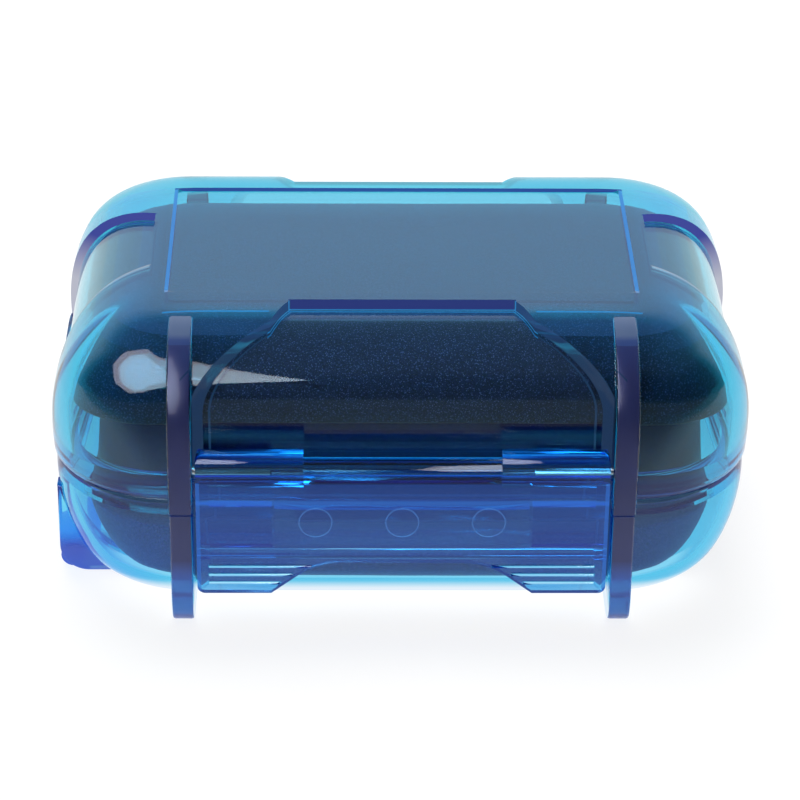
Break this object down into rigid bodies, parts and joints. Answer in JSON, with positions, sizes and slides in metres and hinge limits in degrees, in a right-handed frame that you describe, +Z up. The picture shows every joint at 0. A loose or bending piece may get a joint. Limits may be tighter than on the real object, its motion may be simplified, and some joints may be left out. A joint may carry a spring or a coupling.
{
  "type": "storage case",
  "caption": "Small hinged hard case of clear plastic: deep rounded shells, a wide swinging front latch, rib feet, a rim seal, soft lining and an open inner tray.",
  "frame": {"origin": "on the surface the case stands on, under the middle of the closed case", "axes": "+X along the case's width, to the right seen from the latch side; -Y towards the latch; +Z up through the lid"},
  "size_m": [0.109, 0.0788, 0.0473],
  "materials": {
    "clear_shell": "clear blue, glossy",
    "clear_latch": "clear deep blue, glossy",
    "steel_pin": "drawn steel",
    "seal_rubber": "matte black",
    "sponge": "dark speckled sponge",
    "tray_plastic": "smooth black"
  },
  "bodies": {
    "base": {"base_shell": "clear_shell", "rim_seal": "seal_rubber", "tray": "tray_plastic", "base_foam": "sponge", "hinge_pin_left": "steel_pin", "hinge_pin_right": "steel_pin"},
    "lid": {"lid_shell": "clear_shell", "lid_foam": "sponge", "latch_pin_left": "steel_pin", "latch_pin_right": "steel_pin"},
    "latch": {"latch": "clear_latch"}
  },
  "joints": [
    {"name": "lid_hinge", "type": "hinge", "parent": "base", "child": "lid", "pos_m": [0, 0.0372, 0.0208], "axis": [-1, 0, 0], "range_deg": [0, 105]},
    {"name": "latch_hinge", "type": "hinge", "parent": "lid", "child": "latch", "pos_m": [0, -0.0367, 0.0273], "axis": [-1, 0, 0], "range_deg": [0, 105]}
  ]
}
